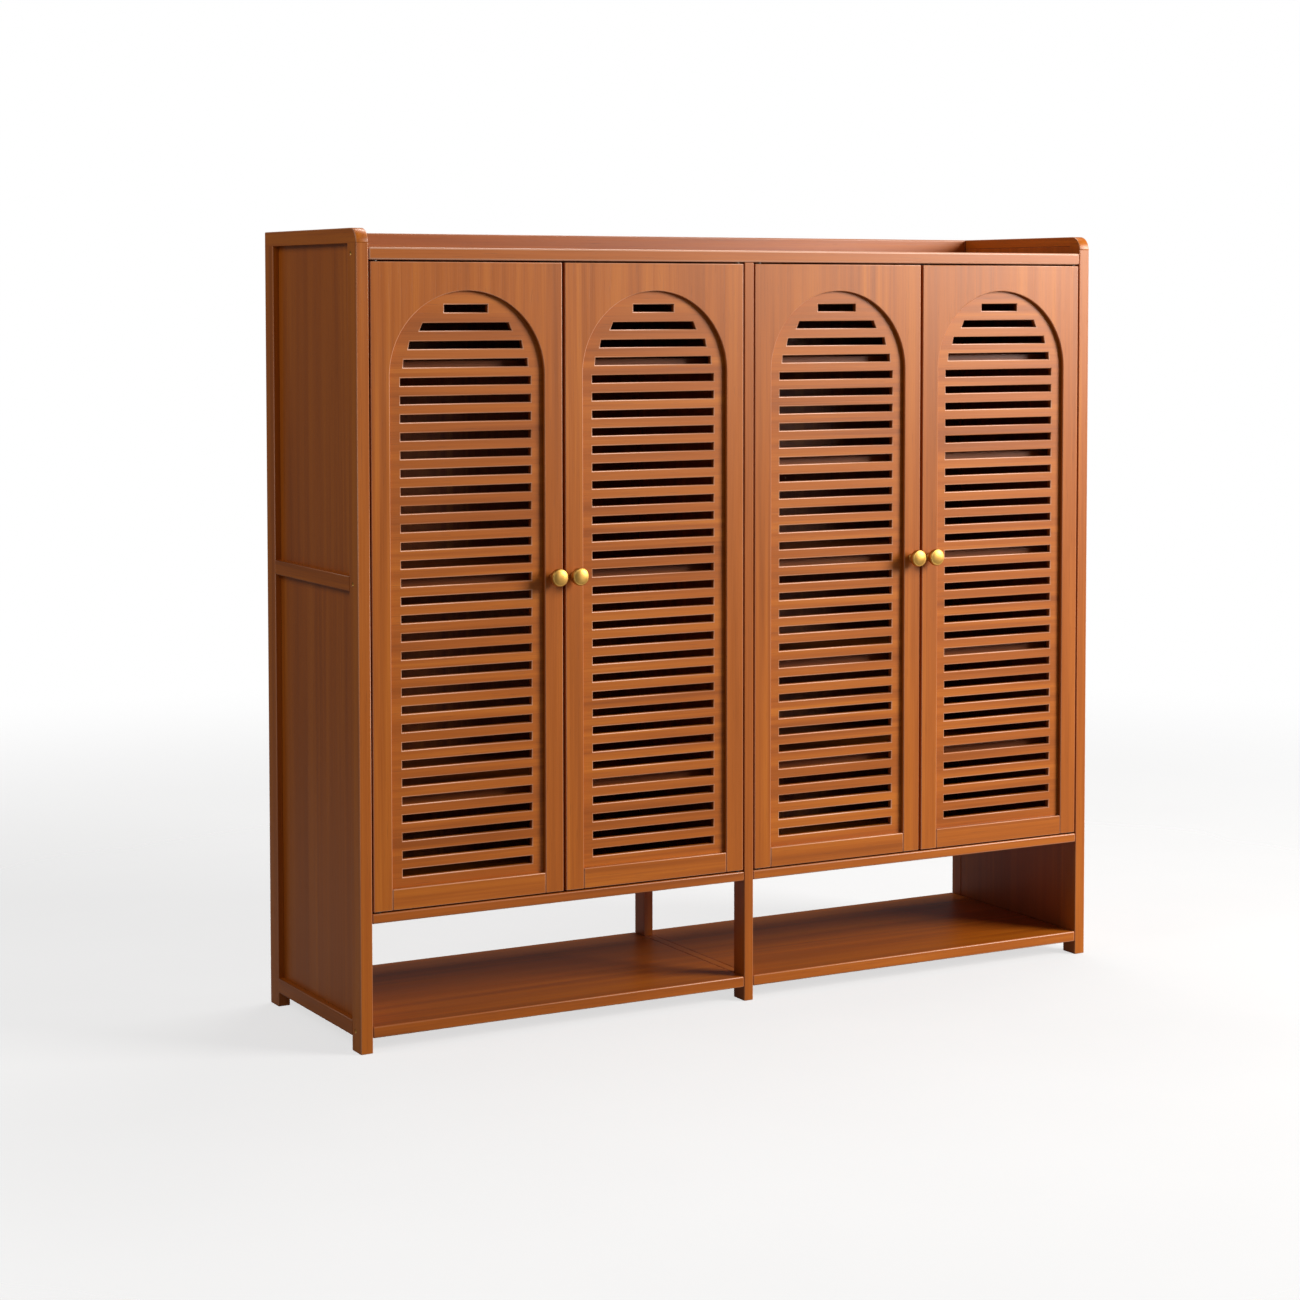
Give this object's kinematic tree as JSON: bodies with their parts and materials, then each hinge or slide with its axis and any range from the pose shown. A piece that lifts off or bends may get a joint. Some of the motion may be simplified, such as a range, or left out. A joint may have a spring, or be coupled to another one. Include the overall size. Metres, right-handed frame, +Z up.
{
  "type": "shoe cabinet",
  "caption": "Free-standing bamboo shoe cabinet: hinged doors with arched slatted panels over an open low shelf, raised side tops and a back gallery.",
  "frame": {"origin": "centre of the bounding box, knobs included, at floor level", "axes": "+X along the width to the right as seen from the front, +Y to the back (the doors face -Y), +Z up"},
  "size_m": [1.2, 0.352, 1.1],
  "materials": {
    "bamboo_frame": "satin amber-brown lacquer over fine strip grain",
    "bamboo_side_panel": "satin amber-brown lacquer, vertical grain",
    "bamboo_door": "satin amber-brown lacquer, vertical strip grain",
    "bamboo_slats": "satin amber-brown lacquer, horizontal grain",
    "bamboo_shelf": "matt lacquer, grain along the shelf",
    "brass": "satin, softly brushed",
    "steel": "plain turned",
    "catch_plastic": "matt moulded"
  },
  "bodies": {
    "carcass": {"left_front_post": "bamboo_frame", "left_back_post": "bamboo_frame", "left_top_rail": "bamboo_frame", "left_middle_rail": "bamboo_frame", "left_bottom_rail": "bamboo_frame", "left_upper_panel": "bamboo_side_panel", "left_lower_panel": "bamboo_side_panel", "right_front_post": "bamboo_frame", "right_back_post": "bamboo_frame", "right_top_rail": "bamboo_frame", "right_middle_rail": "bamboo_frame", "right_bottom_rail": "bamboo_frame", "right_upper_panel": "bamboo_side_panel", "right_lower_panel": "bamboo_side_panel", "centre_front_post": "bamboo_frame", "centre_back_post": "bamboo_frame", "centre_partition": "bamboo_frame", "centre_low_rail": "bamboo_frame", "top_board": "bamboo_frame", "gallery_rail": "bamboo_frame", "left_low_shelf": "bamboo_frame", "left_cabinet_floor": "bamboo_frame", "left_back_panel": "bamboo_shelf", "left_shelf_1": "bamboo_shelf", "left_shelf_2": "bamboo_shelf", "left_shelf_3": "bamboo_shelf", "left_catch": "catch_plastic", "right_low_shelf": "bamboo_frame", "right_cabinet_floor": "bamboo_frame", "right_back_panel": "bamboo_shelf", "right_shelf_1": "bamboo_shelf", "right_shelf_2": "bamboo_shelf", "right_shelf_3": "bamboo_shelf", "right_shelf_4": "bamboo_shelf", "right_shelf_5": "bamboo_shelf", "right_catch": "catch_plastic"},
    "door_1": {"door_1_frame": "bamboo_door", "door_1_bottom_rail": "bamboo_door", "door_1_slat_panel": "bamboo_slats", "door_1_knob": "brass", "door_1_top_pin": "steel", "door_1_bottom_pin": "steel"},
    "door_2": {"door_2_frame": "bamboo_door", "door_2_bottom_rail": "bamboo_door", "door_2_slat_panel": "bamboo_slats", "door_2_knob": "brass", "door_2_top_pin": "steel", "door_2_bottom_pin": "steel"},
    "door_3": {"door_3_frame": "bamboo_door", "door_3_bottom_rail": "bamboo_door", "door_3_slat_panel": "bamboo_slats", "door_3_knob": "brass", "door_3_top_pin": "steel", "door_3_bottom_pin": "steel"},
    "door_4": {"door_4_frame": "bamboo_door", "door_4_bottom_rail": "bamboo_door", "door_4_slat_panel": "bamboo_slats", "door_4_knob": "brass", "door_4_top_pin": "steel", "door_4_bottom_pin": "steel"}
  },
  "joints": [
    {"name": "door_1_hinge", "type": "hinge", "parent": "carcass", "child": "door_1", "pos_m": [-0.5722, -0.149, 0.6], "axis": [0, 0, -1], "range_deg": [0, 110]},
    {"name": "door_2_hinge", "type": "hinge", "parent": "carcass", "child": "door_2", "pos_m": [-0.0175, -0.149, 0.6], "axis": [0, 0, 1], "range_deg": [0, 85]},
    {"name": "door_3_hinge", "type": "hinge", "parent": "carcass", "child": "door_3", "pos_m": [0.0175, -0.149, 0.6], "axis": [0, 0, -1], "range_deg": [0, 85]},
    {"name": "door_4_hinge", "type": "hinge", "parent": "carcass", "child": "door_4", "pos_m": [0.5722, -0.149, 0.6], "axis": [0, 0, 1], "range_deg": [0, 110]}
  ]
}
